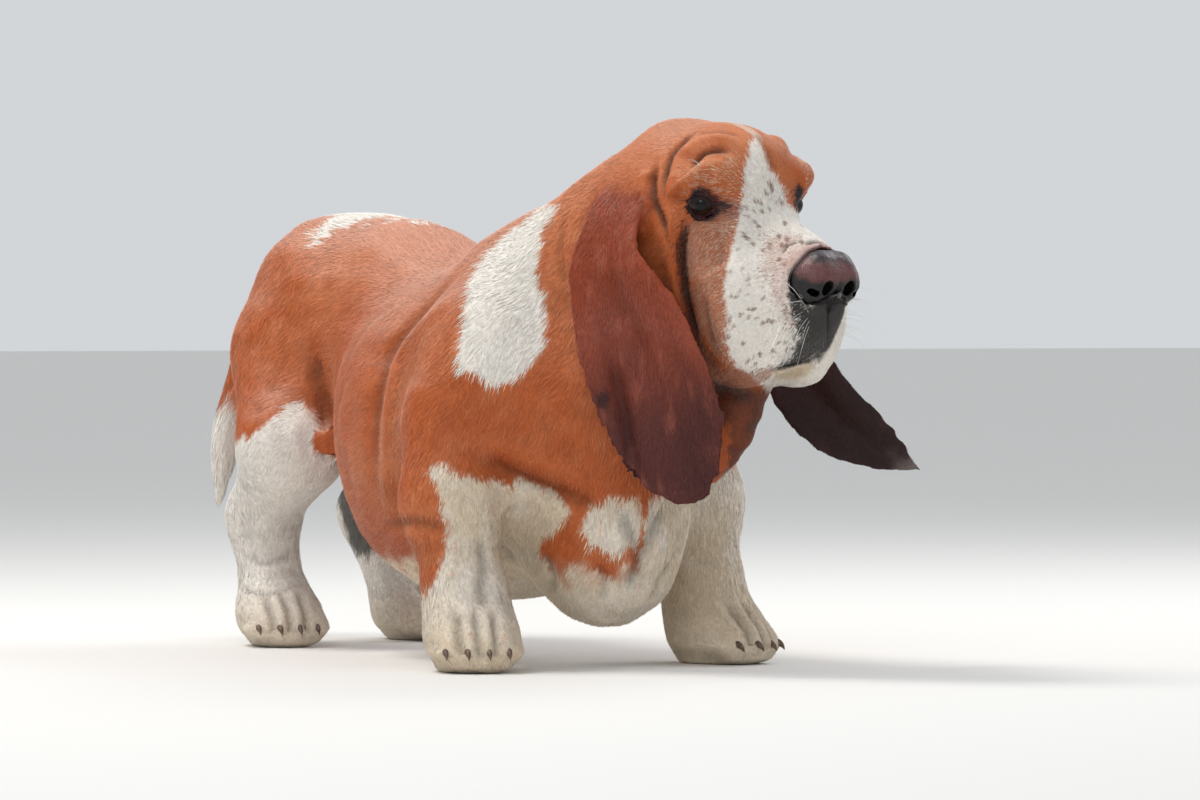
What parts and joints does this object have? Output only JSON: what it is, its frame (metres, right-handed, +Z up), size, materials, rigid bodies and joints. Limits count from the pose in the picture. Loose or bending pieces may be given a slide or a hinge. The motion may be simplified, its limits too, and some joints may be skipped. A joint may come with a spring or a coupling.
{
  "type": "basset hound",
  "caption": "Standing life-size basset hound with long ears and loose skin, in tan and white, head turned a little to its left and one ear swung out.",
  "frame": {"origin": "on the floor, in the middle of the dog's bounding box", "axes": "+X towards the nose, +Y towards the dog's left side, +Z up"},
  "size_m": [0.8412, 0.396, 0.4193],
  "materials": {
    "coat_tan": "short coat",
    "coat_white": "short coat",
    "coat_dark": "short soft coat",
    "nose_leather": "moist",
    "eye": "wet gloss"
  },
  "bodies": {
    "root": {"torso": "coat_tan", "neck": "coat_tan", "head": "coat_tan", "lower_jaw": "coat_white", "nose": "nose_leather", "eye_right": "eye", "eye_left": "eye", "ear_right": "coat_dark", "ear_left": "coat_dark", "fore_leg_right": "coat_white", "fore_foot_right": "coat_white", "fore_leg_left": "coat_white", "fore_foot_left": "coat_white", "hind_leg_right": "coat_white", "hind_foot_right": "coat_white", "hind_leg_left": "coat_white", "hind_foot_left": "coat_white", "tail": "coat_white"}
  },
  "joints": []
}
